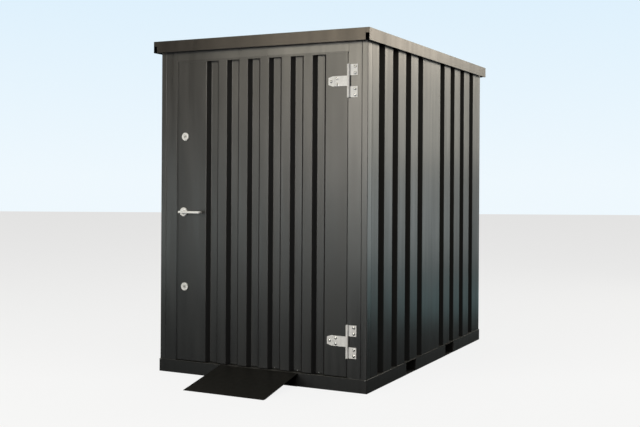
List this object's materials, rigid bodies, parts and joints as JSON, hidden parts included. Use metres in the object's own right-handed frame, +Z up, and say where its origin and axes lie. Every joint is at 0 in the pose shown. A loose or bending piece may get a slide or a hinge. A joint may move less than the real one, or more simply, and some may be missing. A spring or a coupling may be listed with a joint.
{
  "type": "metal tool shed",
  "caption": "Small flat-roofed steel store of folded grooved panels with a hinged, lockable front door, edge flashings, base with fork pockets and a loose access ramp.",
  "frame": {"origin": "centre of the building's footprint, on the ground, at the underside of the middle floor joist", "axes": "+Z up; the door is in the front wall and faces -Y; +X is to the right for someone who faces the door"},
  "size_m": [1.498, 2.608, 2.1],
  "materials": {
    "wall_paint": "anthracite satin paint on folded sheet",
    "door_paint": "anthracite satin paint on folded sheet",
    "frame_paint": "anthracite satin paint",
    "fascia_paint": "anthracite satin paint",
    "roof_paint": "anthracite satin paint",
    "base_paint": "anthracite satin paint",
    "under_paint": "black primer",
    "ramp_paint": "black matt paint",
    "floor_board": "film-free plywood",
    "hinge_steel": "bright zinc plate",
    "lock_steel": "satin steel",
    "case_steel": "zinc plate"
  },
  "bodies": {
    "shed": {"base_front_rail": "base_paint", "base_back_rail": "base_paint", "base_right_rail": "base_paint", "base_left_rail": "base_paint", "floor_joists": "under_paint", "fork_tunnel_front": "under_paint", "fork_tunnel_rear": "under_paint", "floor_panel": "floor_board", "corner_post_front_left": "frame_paint", "corner_post_front_right": "frame_paint", "corner_post_back_left": "frame_paint", "corner_post_back_right": "frame_paint", "door_jamb_right": "frame_paint", "door_jamb_left": "frame_paint", "door_header": "frame_paint", "door_sill": "frame_paint", "top_rail_right": "frame_paint", "top_rail_left": "frame_paint", "top_rail_back": "frame_paint", "roof_bow": "frame_paint", "wall_panel_right_front": "wall_paint", "wall_panel_right_rear": "wall_paint", "wall_panel_left_front": "wall_paint", "wall_panel_left_rear": "wall_paint", "back_panel_right": "wall_paint", "back_panel_left": "wall_paint", "roof_panel_front": "roof_paint", "roof_panel_rear": "roof_paint", "fascia_front": "fascia_paint", "fascia_back": "fascia_paint", "fascia_right": "fascia_paint", "fascia_left": "fascia_paint", "access_ramp": "ramp_paint", "hinge_upper_leaf": "hinge_steel", "hinge_lower_leaf": "hinge_steel"},
    "door": {"door_sheet": "door_paint", "door_stiles": "door_paint", "door_rails": "door_paint", "hinge_upper_strap": "hinge_steel", "hinge_lower_strap": "hinge_steel", "lock_upper": "lock_steel", "lock_lower": "lock_steel", "lock_cases": "case_steel", "handle_rose": "lock_steel"},
    "lever": {"door_lever": "lock_steel"}
  },
  "joints": [
    {"name": "door_hinge", "type": "hinge", "parent": "shed", "child": "door", "pos_m": [0.6, -1.084, 1.0265], "axis": [0, 0, 1], "range_deg": [0, 180]},
    {"name": "lever_turn", "type": "hinge", "parent": "door", "child": "lever", "pos_m": [-0.5435, -1.128, 1.02], "axis": [0, 1, 0], "range_deg": [0, 40], "stiffness_Nm_per_rad": 0.8, "springref_deg": -34.38}
  ]
}
